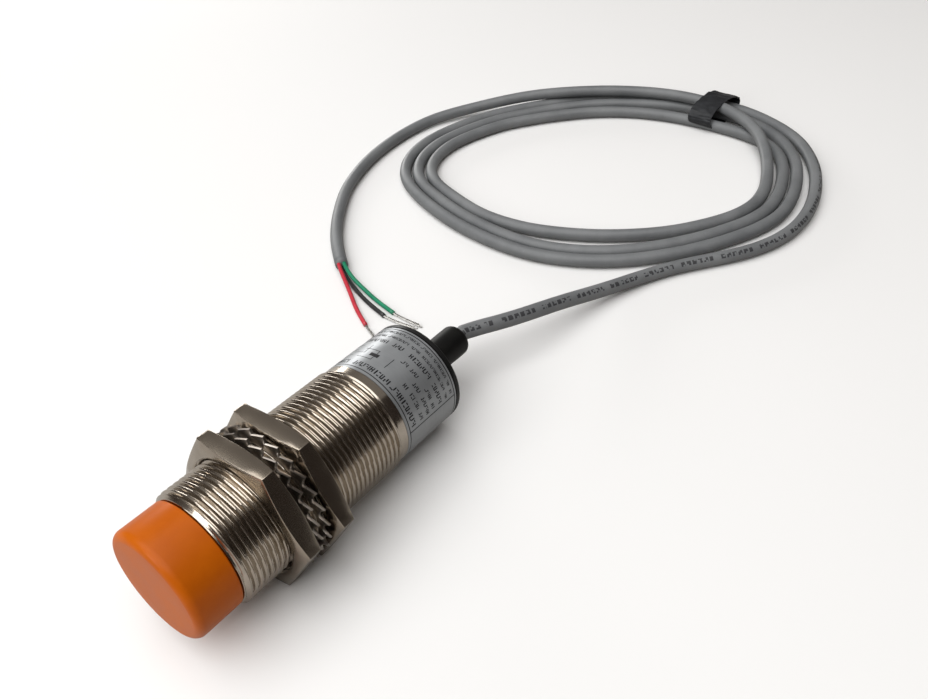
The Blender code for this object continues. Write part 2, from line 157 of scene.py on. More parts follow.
def wireMesh(name, route, radius, resolution):
    # route in mm
    deselectAll()
    curve = bpy.data.curves.new(name, "CURVE")
    curve.dimensions = "3D"
    curve.bevel_depth = radius * mm
    curve.bevel_resolution = resolution
    curve.use_fill_caps = True
    curve.twist_mode = "MINIMUM"
    spline = curve.splines.new("POLY")
    spline.points.add(len(route) - 1)
    for point, place in zip(spline.points, route):
        point.co = (*(place * mm), 1)
    obj = bpy.data.objects.new(name, curve)
    bpy.context.scene.collection.objects.link(obj)
    selectOnly(obj)
    bpy.ops.object.convert(target="MESH")
    obj = bpy.context.object
    obj.name = obj.data.name = name
    bpy.ops.object.mode_set(mode="EDIT")
    bpy.ops.mesh.select_all(action="SELECT")
    bpy.ops.mesh.remove_doubles(threshold=weld["wire"])
    bpy.ops.mesh.normals_make_consistent(inside=False)
    bpy.ops.object.mode_set(mode="OBJECT")
    bpy.ops.object.shade_smooth()
    return obj


def lengthwiseUV(obj, route):
    # a map with the length along the cable in metres, and the turn round it from straight up, 0 to 1
    lengths = [0.0]
    for a, b in zip(route, route[1:]):
        lengths.append(lengths[-1] + (b - a).length * mm)
    tree = kdtree.KDTree(len(route))
    for index, point in enumerate(route):
        tree.insert(point * mm, index)
    tree.balance()
    spots = []
    for vert in obj.data.vertices:
        _, index, _ = tree.find(vert.co)
        ahead = (route[min(index + 1, len(route) - 1)] - route[max(index - 1, 0)]).normalized()
        off = vert.co - route[index] * mm
        right = ahead.cross(Vector((0, 0, 1))).normalized()
        turn = atan2(off.dot(right), off.dot(right.cross(ahead)))
        spots.append((lengths[index] + off.dot(ahead), (turn / (2 * pi)) % 1))
    layer = obj.data.uv_layers.new(name="lengthwise")
    for face in obj.data.polygons:
        around = [spots[v][1] for v in face.vertices]
        wraps = max(around) - min(around) > 0.5
        for loop, v in zip(face.loop_indices, face.vertices):
            u, turn = spots[v]
            layer.data[loop].uv = (u, turn + 1 if wraps and turn < 0.5 else turn)


def makeCable():
    knots = [onAxis(cable["exit"]), onAxis(cable["straight"])] + onTable(cable["lead"])
    knots += [onOval(*knot) for knot in cable["coilRoute"]] + onTable(cable["tail"])
    route = relaxed(smoothRoute(knots, cable["spacing"]), cable["relax"])
    obj = wireMesh("cable", route, cable["radius"], cable["sides"])
    lengthwiseUV(obj, route)
    length = sum((b - a).length for a, b in zip(route, route[1:])) * mm
    return obj, route, length


cablePiece, cableRoute, cableLength = makeCable()
print("cable", round(cableLength, 3), "m", [layer.name for layer in cablePiece.data.uv_layers])


coreNames = ("red", "green", "black")
# each core: its place in the jacket (across, up), its route, and the route of its bare strands
stripped = {
    "coreRadius": 0.7, "coreSides": 4, "coreSpacing": 1.4, "coreRelax": 3, "tuck": 1.5, "straight": 3.5,
    "strandRadius": 0.13, "strandSides": 1, "strandSpacing": 0.5, "strands": 7, "bundle": 0.27, "lay": 6.0,
    "overlap": 0.8, "fray": 0.9, "flatten": 0.75,
    "red": ((-0.95, 0.45), [(115.4, 58.4, 2.2), (111.3, 52.0, 1.2), (106.7, 45.1, 0.8), (102.6, 37.6, 0.8)],
            [(101.3, 34.9, 0.75), (99.9, 31.3, 0.6)]),
    "green": ((0.95, 0.45), [(117.7, 57.0, 2.1), (115.9, 50.5, 1.2), (113.9, 43.2, 0.8), (111.9, 34.0, 0.8)],
              [(111.6, 29.0, 0.75), (111.8, 22.1, 0.6)]),
    "black": ((0, -1.1), [(116.6, 57.6, 0.85), (113.6, 50.6, 0.8), (111.3, 44.0, 0.8), (109.2, 35.6, 0.8)],
              [(109.2, 30.0, 0.75), (110.2, 22.9, 0.6)]),
}


def joined(name, pieces):
    deselectAll()
    for piece in pieces:
        piece.select_set(True)
    bpy.context.view_layer.objects.active = pieces[0]
    if len(pieces) > 1:
        bpy.ops.object.join()
    obj = bpy.context.object
    obj.name = obj.data.name = name
    return obj


def makeStrippedEnd():
    end, before = cableRoute[-1], cableRoute[-4]
    heading = (end - before).normalized()
    side = Vector((-heading.y, heading.x, 0))
    made = []
    for colour in coreNames:
        (across, up), insulated, bare = stripped[colour]
        first = end - heading * stripped["tuck"] + side * across + Vector((0, 0, up))
        knots = [first, first + heading * stripped["straight"]] + onTable(insulated)
        core = smoothRoute(knots, stripped["coreSpacing"])
        made.append(wireMesh(colour + "Core", relaxed(core, stripped["coreRelax"]), stripped["coreRadius"],
                             stripped["coreSides"]))
        tip = core[-1]
        inside = tip - (core[-1] - core[-3]).normalized() * stripped["overlap"]
        line = smoothRoute([inside, tip] + onTable(bare), stripped["strandSpacing"])
        threads = []
        for index in range(stripped["strands"]):
            route = []
            for step, place in enumerate(line):
                ahead = (line[min(step + 1, len(line) - 1)] - line[max(step - 1, 0)]).normalized()
                across = Vector((-ahead.y, ahead.x, 0)).normalized()
                turn = 2 * pi * (step * stripped["strandSpacing"] / stripped["lay"] + index / (stripped["strands"] - 1))
                reach = 0 if index == 0 else stripped["bundle"] * (1 + stripped["fray"] * (step / len(line)) ** 3)
                rise = stripped["flatten"] * reach * sin(turn)
                route.append(place + across * reach * cos(turn) + Vector((0, 0, rise)))
            uneven = route[:len(route) - (index * 3) % 4]
            threads.append(wireMesh("thread", uneven, stripped["strandRadius"], stripped["strandSides"]))
        made.append(joined(colour + "Strands", threads))
    return made


endPieces = makeStrippedEnd()
print("stripped cores ready")


def named(name):
    obj = bpy.context.object
    obj.name = obj.data.name = name
    return obj


def spinOutline(name, outline, sides, angle=360.0, first=0.0):
    # outline is (distance, radius) in mm
    deselectAll()
    bpy.ops.mesh.primitive_plane_add(size=mm, location=(0, 0, 0))
    obj = named(name)
    bpy.ops.object.mode_set(mode="EDIT")
    bpy.ops.mesh.select_all(action="SELECT")
    bpy.ops.mesh.merge(type="CENTER")
    bpy.ops.transform.translate(value=(outline[0][1] * mm, 0, outline[0][0] * mm))
    for (z1, r1), (z2, r2) in zip(outline, outline[1:]):
        bpy.ops.mesh.extrude_vertices_move(TRANSFORM_OT_translate={"value": ((r2 - r1) * mm, 0, (z2 - z1) * mm)})
    bpy.ops.mesh.select_all(action="SELECT")
    bpy.ops.mesh.remove_doubles(threshold=weld["spun"])
    if angle < 360:
        bpy.ops.mesh.select_all(action="SELECT")
        bpy.ops.mesh.edge_face_add()
        bpy.ops.transform.rotate(value=-radians(first), orient_axis="Z", center_override=(0, 0, 0))
    bpy.ops.mesh.spin(steps=sides, angle=radians(angle), center=(0, 0, 0), axis=(0, 0, 1))
    bpy.ops.mesh.select_all(action="SELECT")
    bpy.ops.mesh.remove_doubles(threshold=weld["spun"])
    bpy.ops.mesh.normals_make_consistent(inside=False)
    bpy.ops.object.mode_set(mode="OBJECT")
    return obj


def rounded(z, r, radius, first, last, steps):
    turns = [radians(first + (last - first) * i / steps) for i in range(steps + 1)]
    return [(z + radius * sin(t), r + radius * cos(t)) for t in turns]


def settle(obj, smooth=30):
    # puts a piece that was made on the sensor's axis into its place in the frame
    obj.data.transform(sensorPlace)
    obj.data.update()
    smoothBy(obj, smooth)
    return obj


def smoothBy(obj, degrees):
    selectOnly(obj)
    bpy.ops.object.shade_smooth_by_angle(angle=radians(degrees))


def applyBoolean(obj, other, operation):
    cut = obj.modifiers.new("cut", "BOOLEAN")
    cut.operation = operation
    cut.object = other
    cut.solver = "EXACT"
    selectOnly(obj)
    bpy.ops.object.modifier_apply(modifier="cut")
    bpy.data.objects.remove(other, do_unlink=True)


def applyBevel(obj, width, segments=2, angle=25):
    bevel = obj.modifiers.new("edges", "BEVEL")
    bevel.width = width * mm
    bevel.segments = segments
    bevel.limit_method = "ANGLE"
    bevel.angle_limit = radians(angle)
    selectOnly(obj)
    bpy.ops.object.modifier_apply(modifier="edges")


# dish is the slight hollow of the face, as distance and radius
cap = {"radius": 14.05, "length": 11.4, "edge": 2.0, "sides": 160, "dish": [(0.06, 0), (0.05, 4), (0.03, 8)],
       "wall": 1.2, "straight": 6, "chamfer": 0.15, "spigot": 12.9, "inner": 12.1, "end": 16.0}


def makeCap():
    wall, spigot, inner, end = cap["wall"], cap["spigot"], cap["inner"], cap["end"]
    chamfer = cap["chamfer"]
    outline = [(wall, 0)] + cap["dish"]
    outline += rounded(cap["edge"], cap["radius"] - cap["edge"], cap["edge"], -90, 0, 10)
    outline += [(cap["straight"], cap["radius"]), (cap["length"] - chamfer, cap["radius"]),
                (cap["length"], cap["radius"] - chamfer),
                (cap["length"], spigot), (end, spigot), (end, inner), (wall, inner), (wall, 0)]
    return settle(spinOutline("sensingCap", outline, cap["sides"]), 40)


barrel = {"crest": 15.0, "root": 14.12, "pitch": 1.5, "start": 11.7, "end": 61.9, "chamfer": 0.95,
          "body": 14.6, "bore": 13.3, "stations": 10, "sides": 144,
          "crestFlat": 0.16, "flank": 0.62, "soften": 0.25, "fade": (0.2, 1.1),
          "shoulder": (62.1, 62.9), "label": (63.9, 83.3), "labelStep": 0.05, "labelDrop": 0.3}


def threadRadius(distance, angle):
    # ISO shape with rounded crest and root, right-handed
    place = (distance - barrel["start"]) / barrel["pitch"] - angle / (2 * pi)
    across = abs((place - floor(place)) * 2 - 1)               # 1 at the crest's middle, 0 at the root's
    rise = min(1.0, max(0.0, (across - barrel["crestFlat"]) / barrel["flank"]))
    rise = rise * (1 - barrel["soften"]) + barrel["soften"] * rise * rise * (3 - 2 * rise)
    radius = barrel["root"] + (barrel["crest"] - barrel["root"]) * rise
    radius = min(radius, barrel["crest"] - barrel["chamfer"] + (distance - barrel["start"]))
    early, long = barrel["fade"]
    fade = min(1.0, max(0.0, (barrel["end"] - early - distance) / long))
    return barrel["body"] + (radius - barrel["body"]) * fade


def makeBarrel():
    step = barrel["pitch"] / barrel["stations"]
    count = int((barrel["end"] - barrel["start"]) / step)
    skin = [(barrel["start"] + i * step, barrel["crest"]) for i in range(count + 1)]
    low, high = barrel["label"]
    sunk = barrel["body"] - barrel["labelDrop"]
    outline = [(barrel["start"], barrel["bore"])] + skin
    outline += [(place, barrel["body"]) for place in (*barrel["shoulder"], low - barrel["labelStep"])]
    outline += [(low, sunk), (high, sunk), (high, barrel["bore"]), (barrel["start"], barrel["bore"])]
    obj = spinOutline("barrel", outline, barrel["sides"])
    top = (barrel["crest"] - 0.01) * mm
    for vert in obj.data.vertices:
        if hypot(vert.co.x, vert.co.y) > top:
            angle = atan2(vert.co.y, vert.co.x)
            radius = threadRadius(vert.co.z / mm, angle)
            vert.co.x, vert.co.y = radius * cos(angle) * mm, radius * sin(angle) * mm
    return settle(obj, 50)


nut = {"flats": 36.0, "thick": 5.0, "bore": 15.2, "relief": 0.75, "face": 17.35, "drop": 0.95, "edge": 0.18,
       "sides": 144, "front": 23.5, "rear": 33.9}


def makeNut(name, start):
    corner = nut["flats"] / 2 / cos(pi / 6)
    middle = start + nut["thick"] / 2
    end = start + nut["thick"]
    deselectAll()
    bpy.ops.mesh.primitive_cylinder_add(vertices=6, radius=corner * mm, depth=nut["thick"] * mm,
                                        location=(0, 0, middle * mm))
    obj = named(name)
    bpy.ops.object.transform_apply(location=True, rotation=True, scale=True)
    slope = nut["drop"] / (corner - nut["face"])
    reach = nut["thick"] / 2 / slope
    slug = spinOutline("slug", [(start - 0.001, 0), (start, nut["face"]), (middle, nut["face"] + reach),
                                (end, nut["face"]), (end + 0.001, 0)], nut["sides"])
    applyBoolean(obj, slug, "INTERSECT")
    relief = nut["relief"]
    bore = spinOutline("bore", [(start - 1, 0), (start - 1, nut["bore"] + relief + 1), (start + relief, nut["bore"]),
                                (end - relief, nut["bore"]), (end + 1, nut["bore"] + relief + 1), (end + 1, 0)],
                       nut["sides"])
    applyBoolean(obj, bore, "DIFFERENCE")
    applyBevel(obj, nut["edge"])
    return settle(obj, 26)


# gap: where the space between two teeth starts and how wide it is, as shares of half a tooth, and how fast it deepens
washer = {"teeth": 26, "inner": 15.3, "root": 16.5, "tip": 18.35, "plate": 0.8, "twist": 0.72, "perTooth": 10,
          "edge": 0.15, "rootLand": 0.25, "gap": (0.62, 0.38, 1.6), "leanShare": 0.72, "leanPower": 0.7, "taper": 0.25,
          "front": 29.9, "rear": 32.5}


def makeWasher(name, middle, shift):
    half = washer["plate"] / 2
    inner, root, tip = washer["inner"], washer["root"], washer["tip"]
    between = (root + tip) / 2
    edge, (gapStart, gapWidth, deepen) = washer["edge"], washer["gap"]
    outline = [(middle - half, inner), (middle - half, root), (middle - half, between), (middle - half, tip - edge),
               (middle, tip), (middle + half, tip - edge), (middle + half, between), (middle + half, root),
               (middle + half, inner), (middle - half, inner)]
    obj = spinOutline(name, outline, washer["teeth"] * washer["perTooth"])
    for vert in obj.data.vertices:
        radius = hypot(vert.co.x, vert.co.y) / mm
        if radius <= root + 0.01:
            continue
        angle = atan2(vert.co.y, vert.co.x)
        place = angle / (2 * pi) * washer["teeth"] + shift
        place = (place - floor(place)) * 2 - 1                   # -1 to 1 across one tooth
        out = (radius - root) / (tip - root)
        gap = max(0.0, (abs(place) - gapStart) / gapWidth)
        radius -= (radius - root - washer["rootLand"]) * min(1.0, gap * deepen)
        lean = washer["twist"] * max(-1.0, min(1.0, place / washer["leanShare"])) * (1 - gap ** 2)
        lean *= out ** washer["leanPower"]
        thin = 1 - washer["taper"] * out
        z = vert.co.z / mm
        vert.co = Vector((radius * cos(angle), radius * sin(angle), middle + (z - middle) * thin + lean)) * mm
    return settle(obj, 40)


label = {"start": 64.0, "end": 83.1, "inner": 14.4, "outer": 14.6, "first": -87.0, "wrap": 290, "steps": 116,
         "lift": 0.002, "ink": 0.02, "border": 0.26, "inkStep": 5, "letterWidth": 0.66, "letterGap": 0.17,
         # made-up letters: each stroke is left, right, top and foot as shares of the letter's box
         "letters": (((0.0, 0.32, 0.0, 1.0), (0.68, 1.0, 0.0, 1.0), (0.32, 0.68, 0.38, 0.60)),
                     ((0.0, 0.32, 0.0, 1.0), (0.32, 0.95, 0.0, 0.22), (0.32, 0.95, 0.78, 1.0)),
                     ((0.0, 0.36, 0.0, 1.0), (0.64, 1.0, 0.35, 1.0)),
                     ((0.0, 0.32, 0.0, 1.0), (0.32, 0.80, 0.40, 0.60), (0.32, 1.0, 0.80, 1.0)),
                     ((0.30, 0.70, 0.0, 1.0),),
                     ((0.0, 0.32, 0.0, 0.6), (0.32, 1.0, 0.0, 0.22), (0.68, 1.0, 0.22, 1.0)),
                     ((0.0, 1.0, 0.0, 0.22), (0.33, 0.67, 0.22, 1.0))),
         # distance behind the face, height of the line, first place, word lengths, space between words
         "lines": [(66.5, 1.55, 2.9, (11.6, 12.6, 9.2), 1.1),
                   (69.5, 1.15, 2.9, (2.4, 1.9, 2.0, 2.2), 0.8),
                   (71.9, 1.15, 2.9, (5.2, 3.6), 0.9),
                   (74.1, 1.1, 2.9, (2.2, 3.4), 0.9),
                   (73.9, 1.1, 12.2, (3.0, 2.4), 0.9),
                   (76.8, 1.35, 2.9, (6.4, 8.6, 4.0, 9.4), 1.0),
                   (79.2, 0.85, 2.9, (1.8, 2.0, 8.0, 3.0, 6.6, 4.2, 4.6), 0.7),
                   (81.2, 0.85, 2.9, (1.9, 1.6, 5.6, 3.6, 4.2, 6.4, 3.4), 0.7)],
         # generic connection drawing: strips of first place, last place, distance, end distance
         "drawing": [(19.6, 24.4, 69.0, 69.18), (19.6, 24.4, 72.6, 72.78), (19.6, 19.78, 69.0, 72.78),
                     (24.22, 24.4, 69.0, 72.78), (20.6, 23.4, 70.3, 71.5), (24.4, 31.6, 69.7, 69.86),
                     (24.4, 28.2, 70.8, 70.96), (24.4, 31.6, 71.9, 72.06), (28.04, 28.2, 70.8, 74.4),
                     (28.2, 31.6, 74.24, 74.4), (32.2, 34.6, 69.2, 70.3), (32.2, 34.6, 71.4, 72.5),
                     (32.2, 34.6, 73.8, 74.9)],
         "frame": (1.6, 71.6, 64.75, 82.55)}


def labelBody():
    inner, outer = label["inner"], label["outer"]
    outline = [(label["start"], inner), (label["start"], outer), (label["end"], outer), (label["end"], inner),
               (label["start"], inner)]
    first = label["first"] - label["wrap"]
    return spinOutline("ratingLabel", outline, label["steps"], label["wrap"], first)


def inkPatch(first, last, low, high):
    outer = label["outer"]
    under, over = outer + label["lift"], outer + label["ink"]
    turn = [label["first"] - place / outer * 180 / pi for place in (last, first)]
    outline = [(low, under), (low, over), (high, over), (high, under), (low, under)]
    steps = max(1, round((turn[1] - turn[0]) / label["inkStep"]))
    return spinOutline("ink", outline, steps, turn[1] - turn[0], turn[0])


# a word is a row of made-up letters taken in a jumbled order
def letterRun(distance, height, first, lengths, space):
    patches = []
    letters = label["letters"]
    width, gap = height * label["letterWidth"], height * label["letterGap"]
    for length in lengths:
        spot, index = first, 0
        while spot + width < first + length:
            letter = letters[(index * 3 + round(distance * 2) + round(first)) % len(letters)]
            for left, right, top, foot in letter:
                patches.append(inkPatch(spot + width * left, spot + width * right,
                                        distance + height * (top - 0.5), distance + height * (foot - 0.5)))
            spot += width + gap
            index += 1
        first += length + space
    return patches


def makeLabel():
    foil = settle(labelBody(), 40)
    patches = []
    for distance, height, first, lengths, space in label["lines"]:
        patches += letterRun(distance, height, first, lengths, space)
    patches += [inkPatch(*strip) for strip in label["drawing"]]
    first, last, low, high = label["frame"]
    line = label["border"]
    patches += [inkPatch(first, last, low, low + line), inkPatch(first, last, high - line, high),
                inkPatch(first, first + line, low, high), inkPatch(last - line, last, low, high)]
    return foil, settle(joined("labelPrint", patches), 40)


# groove is the shallow ring in the end cap; foot and neck shape the gland, as distance and radius
rearEnd = {"hole": 3.55, "body": 14.6, "spigot": 13.0, "inside": 80, "start": 83.5, "length": 85.0, "edge": 0.55,
           "groove": (12.6, 12.4, 7.0, 6.8), "grooveDepth": 0.25, "capSides": 144,
           "gland": 4.5, "glandStart": 77, "glandEnd": 103.0, "tip": 1.7, "mouth": 2.4, "glandSides": 72,
           "foot": [(77, 5.2), (79.6, 5.2)], "fit": 0.25, "collar": [(85.2, 5.0), (86.6, 5.05), (87.0, 4.75)],
           "neck": [(87.6, 0.06), (93, 0.1), (98, 0)], "lip": (0.25, 0.35)}


def makeRearEnd():
    end = rearEnd
    hole, start, back, inside = end["hole"], end["start"], end["length"], end["inside"]
    outline = [(inside, hole), (inside, end["spigot"]), (start, end["spigot"]), (start, end["body"])]
    outline += rounded(back - end["edge"], end["body"] - end["edge"], end["edge"], 0, 90, 6)
    sunk = back - end["grooveDepth"]
    outline += list(zip((back, sunk, sunk, back), end["groove"])) + [(back, hole), (inside, hole)]
    endCap = settle(spinOutline("endCap", outline, end["capSides"]), 40)
    shank = hole - end["fit"]
    first, last, mouth = end["glandStart"], end["glandEnd"], end["mouth"]
    outline = [(first, mouth)] + end["foot"] + [(end["foot"][-1][0], shank), (end["collar"][0][0], shank)]
    outline += end["collar"] + [(distance, end["gland"] - drop) for distance, drop in end["neck"]]
    outline += rounded(last - end["tip"], end["gland"] - end["tip"], end["tip"], 0, 80, 8)
    wider, deeper = end["lip"]
    outline += [(last, mouth + wider), (last - deeper, mouth), (first, mouth)]
    gland = settle(spinOutline("cableGland", outline, end["glandSides"]), 45)
    return endCap, gland


tape = {"angle": 33, "across": 12.55, "low": 0.12, "high": 9.6, "half": 5.0, "thick": 0.35, "shift": -0.9,
        "sides": 96, "cuts": 11, "squareAcross": 0.62, "squareUp": 0.9, "crown": (0.78, 0.22, 2.2),
        "wrinkle": 0.28, "wrinkleScale": (5, 5, 1.4), "swell": 0.06, "lean": 0.5, "ragged": 0.35}


def makeTape():
    deselectAll()
    bpy.ops.mesh.primitive_cylinder_add(vertices=tape["sides"], radius=1, depth=2, end_fill_type="NOTHING")
    obj = named("tapeTie")
    bpy.ops.object.mode_set(mode="EDIT")
    bpy.ops.mesh.select_all(action="SELECT")
    bpy.ops.mesh.subdivide(number_cuts=tape["cuts"])
    bpy.ops.object.mode_set(mode="OBJECT")
    middle, half = (tape["high"] + tape["low"]) / 2, (tape["high"] - tape["low"]) / 2
    flat, bulge, fall = tape["crown"]
    scaleX, scaleY, scaleZ = tape["wrinkleScale"]
    for vert in obj.data.vertices:
        angle = atan2(vert.co.y, vert.co.x)
        across = abs(cos(angle)) ** tape["squareAcross"] * (1 if cos(angle) > 0 else -1)
        up = abs(sin(angle)) ** tape["squareUp"] * (1 if sin(angle) > 0 else -1)
        crown = 1 if up < 0 else flat + bulge * cos(across * fall)
        wrinkle = noise.noise(Vector((across * scaleX, up * scaleY, vert.co.z * scaleZ))) * tape["wrinkle"]
        skew = tape["lean"] * up + tape["ragged"] * noise.noise(Vector((angle, 3, 0)))
        out = 1 + wrinkle * tape["swell"]
        height = middle + half * up * crown * out
        vert.co = Vector((tape["across"] * across * out, vert.co.z * tape["half"] + skew,
                          max(tape["low"], height + (wrinkle if up > 0 else 0)))) * mm
    wall = obj.modifiers.new("wall", "SOLIDIFY")
    wall.thickness = tape["thick"] * mm
    wall.offset = -1
    selectOnly(obj)
    bpy.ops.object.mode_set(mode="EDIT")
    bpy.ops.mesh.select_all(action="SELECT")
    bpy.ops.mesh.normals_make_consistent(inside=False)
    bpy.ops.object.mode_set(mode="OBJECT")
    bpy.ops.object.modifier_apply(modifier="wall")
    angle = radians(tape["angle"])
    outward = atan2(cable["long"] * sin(angle), cable["short"] * cos(angle)) + radians(cable["turn"])
    spot = onOval(tape["angle"], tape["shift"], 0) * mm
    obj.data.transform(Matrix.Translation(spot) @ Matrix.Rotation(outward, 4, "Z"))
    smoothBy(obj, 50)
    return obj


capPiece = makeCap()
barrelPiece = makeBarrel()
print("cap and barrel ready")
frontNut = makeNut("frontNut", nut["front"])
rearNut = makeNut("rearNut", nut["rear"])
frontWasher = makeWasher("frontWasher", washer["front"], 0.0)
rearWasher = makeWasher("rearWasher", washer["rear"], 0.5)
print("nuts and washers ready")
labelFoil, labelPrint = makeLabel()
endCapPiece, glandPiece = makeRearEnd()
tapePiece = makeTape()
print("label, rear end and tape ready")


def newGroup(name, inputs, outputs):
    group = bpy.data.node_groups.new(name, "ShaderNodeTree")
    for title, kind, value in inputs:
        socket = group.interface.new_socket(name=title, in_out="INPUT", socket_type=kind)
        socket.default_value = value
    for title, kind in outputs:
        group.interface.new_socket(name=title, in_out="OUTPUT", socket_type=kind)
    enter, leave = group.nodes.new("NodeGroupInput"), group.nodes.new("NodeGroupOutput")
    return group, enter, leave


class Tree:
    # short calls for adding and joining nodes

    def __init__(self, tree):
        self.tree = tree

    def add(self, kind, inputs=None, **settings):
        node = self.tree.nodes.new(kind)
        for key, value in settings.items():
            setattr(node, key, value)
        for key, value in (inputs or {}).items():
            self.feed(value, node.inputs[key])
        return node

    def feed(self, value, socket):
        if isinstance(value, bpy.types.NodeSocket):
            self.tree.links.new(value, socket)
        else:
            socket.default_value = value

    def math(self, operation, a, b=0.0, clamp=False):
        node = self.add("ShaderNodeMath", operation=operation, use_clamp=clamp)
        self.feed(a, node.inputs[0])
        self.feed(b, node.inputs[1])
        return node.outputs[0]

    def noise(self, vector, scale, detail, rough):
        node = self.add("ShaderNodeTexNoise", {"Vector": vector, "Scale": scale, "Detail": detail, "Roughness": rough})
        return node.outputs["Fac"]

    def remap(self, value, low, high, out0=0.0, out1=1.0):
        node = self.add("ShaderNodeMapRange", {"Value": value, "From Min": low, "From Max": high,
                                               "To Min": out0, "To Max": out1})
        return node.outputs["Result"]

    def blend(self, factor, a, b):
        node = self.add("ShaderNodeMix", data_type="RGBA")
        self.feed(factor, node.inputs["Factor"])
        for value, socket in ((a, node.inputs["A"]), (b, node.inputs["B"])):
            self.feed(value if isinstance(value, bpy.types.NodeSocket) else (*value, 1.0), socket)
        return node.outputs["Result"]

    def objectPlace(self):
        return self.add("ShaderNodeTexCoord").outputs["Object"]

    def sensorPlace(self):
        # object coordinates brought to the sensor's axes: z runs back from the sensing face
        node = self.add("ShaderNodeMapping", {"Vector": self.objectPlace()}, vector_type="TEXTURE")
        node.inputs["Location"].default_value = Vector((sensor["faceX"], 0, sensor["height"])) * mm
        node.inputs["Rotation"].default_value = (0, pi / 2 + tilt, 0)
        return node.outputs["Vector"]


def grainGroup():
    # cloudy colour and gloss changes, with a fine grain in relief
    takes = [("Vector", "NodeSocketVector", (0, 0, 0)), ("Cloud", "NodeSocketFloat", 120.0),
             ("Grain", "NodeSocketFloat", 3000.0)]
    gives = [(title, "NodeSocketFloat") for title in ("Cloud", "Speck", "Height")]
    group, enter, leave = newGroup("grain", takes, gives)
    t = Tree(group)
    cloud = t.noise(enter.outputs["Vector"], enter.outputs["Cloud"], 4.0, 0.6)
    grain = t.noise(enter.outputs["Vector"], enter.outputs["Grain"], 3.0, 0.55)
    t.feed(t.remap(cloud, 0.3, 0.7), leave.inputs["Cloud"])
    t.feed(t.remap(grain, 0.60, 0.72), leave.inputs["Speck"])
    t.feed(grain, leave.inputs["Height"])
    return group


def turningGroup():
    # fine lines left round a turned part, and a few long scratches
    group, enter, leave = newGroup("turning", [("Vector", "NodeSocketVector", (0, 0, 0))],
                                   [("Lines", "NodeSocketFloat"), ("Scratch", "NodeSocketFloat")])
    t = Tree(group)
    stretched = t.add("ShaderNodeMapping", {"Vector": enter.outputs["Vector"]})
    stretched.inputs["Scale"].default_value = (40, 40, 9000)
    lines = t.noise(stretched.outputs["Vector"], 1.0, 3.0, 0.6)
    slanted = t.add("ShaderNodeMapping", {"Vector": enter.outputs["Vector"]})
    slanted.inputs["Rotation"].default_value = (0.5, 0.9, 0.3)
    slanted.inputs["Scale"].default_value = (90, 2600, 1400)
    scratch = t.noise(slanted.outputs["Vector"], 1.0, 2.0, 0.5)
    t.feed(lines, leave.inputs["Lines"])
    t.feed(t.remap(scratch, 0.70, 0.76), leave.inputs["Scratch"])
    return group


grain = grainGroup()
turning = turningGroup()


def startMaterial(name):
    material = bpy.data.materials.new(name)
    material.use_nodes = True
    tree = Tree(material.node_tree)
    return material, tree, material.node_tree.nodes["Principled BSDF"]


def useGroup(tree, group, inputs):
    node = tree.add("ShaderNodeGroup", node_tree=group)
    for key, value in inputs.items():
        tree.feed(value, node.inputs[key])
    return node.outputs


def bump(tree, height, strength, distance):
    node = tree.add("ShaderNodeBump", {"Height": height, "Strength": strength, "Distance": distance * mm})
    return node.outputs["Normal"]


def plainFinish(name, colour, dark, roughness, cloud=120.0, fine=3000.0, relief=0.02, metallic=0.0, coat=0.0,
                speck=0.25, gloss=0.12, shine=0.5):
    # moulded, dipped or cast surfaces: colour clouds between two shades, pale specks, fine relief
    material, t, shader = startMaterial(name)
    out = useGroup(t, grain, {"Vector": t.objectPlace(), "Cloud": cloud, "Grain": fine})
    shade = t.blend(out["Cloud"], dark, colour)
    pale = tuple(min(1.0, c * 1.5 + 0.01) for c in colour)
    t.feed(t.blend(t.math("MULTIPLY", out["Speck"], speck), shade, pale), shader.inputs["Base Color"])
    t.feed(t.remap(out["Cloud"], 0, 1, roughness - gloss / 2, roughness + gloss / 2), shader.inputs["Roughness"])
    shader.inputs["Metallic"].default_value = metallic
    shader.inputs["Specular IOR Level"].default_value = shine
    shader.inputs["Coat Weight"].default_value = coat
    shader.inputs["Coat Roughness"].default_value = 0.15
    t.feed(bump(t, out["Height"], 0.5, relief), shader.inputs["Normal"])
    return material


# bright and dull plating, range of roughness, strength of turning lines and of stains
plated = {
    "platedBarrel": ((0.53, 0.475, 0.41), (0.42, 0.37, 0.31), (0.12, 0.22), 0.35, 0.25),
    "platedNut": ((0.46, 0.405, 0.34), (0.38, 0.33, 0.27), (0.15, 0.25), 0.03, 0.35),
    "springSteel": ((0.44, 0.40, 0.36), (0.24, 0.215, 0.19), (0.27, 0.42), 0.05, 0.5),
}
stainColour = (0.24, 0.195, 0.15)


